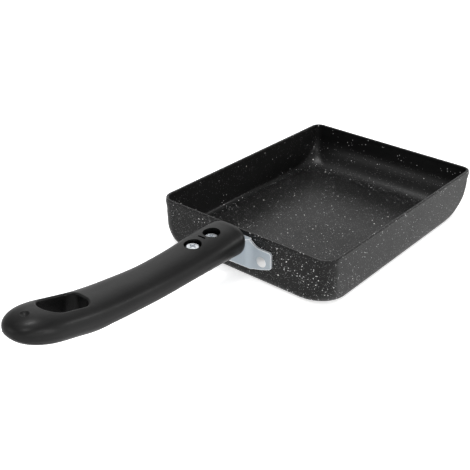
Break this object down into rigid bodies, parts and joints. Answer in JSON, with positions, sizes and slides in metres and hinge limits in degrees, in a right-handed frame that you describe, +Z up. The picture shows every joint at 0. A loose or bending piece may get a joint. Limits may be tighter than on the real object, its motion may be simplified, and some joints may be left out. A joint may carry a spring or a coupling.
{
  "type": "tamagoyaki pan",
  "caption": "Rectangular rolled-omelette pan with low walls, a large-radius far end, a riveted sheet-steel bracket and a curved moulded grip with a hanging hole.",
  "frame": {"origin": "centre of the flat base, on the surface that the pan stands on, midway along the rim's length and width", "axes": "+Z up out of the pan, +Y along the handle's axis away from the handle, +X to the right of a cook who holds the handle"},
  "size_m": [0.13, 0.3449, 0.0506],
  "materials": {
    "coated_aluminium": "black speckled non-stick coating, satin",
    "plated_steel": "bright zinc plating",
    "rivet_metal": "bare, bright",
    "grip_plastic": "black phenolic, fine satin",
    "screw_steel": "bright zinc plating"
  },
  "bodies": {
    "root": {"pan_body": "coated_aluminium", "handle_bracket": "plated_steel", "rivet_left": "rivet_metal", "rivet_right": "rivet_metal", "handle_grip": "grip_plastic", "screw_front": "screw_steel", "screw_rear": "screw_steel", "washer_front": "screw_steel", "washer_rear": "screw_steel", "nut_front": "screw_steel", "nut_rear": "screw_steel"}
  },
  "joints": []
}
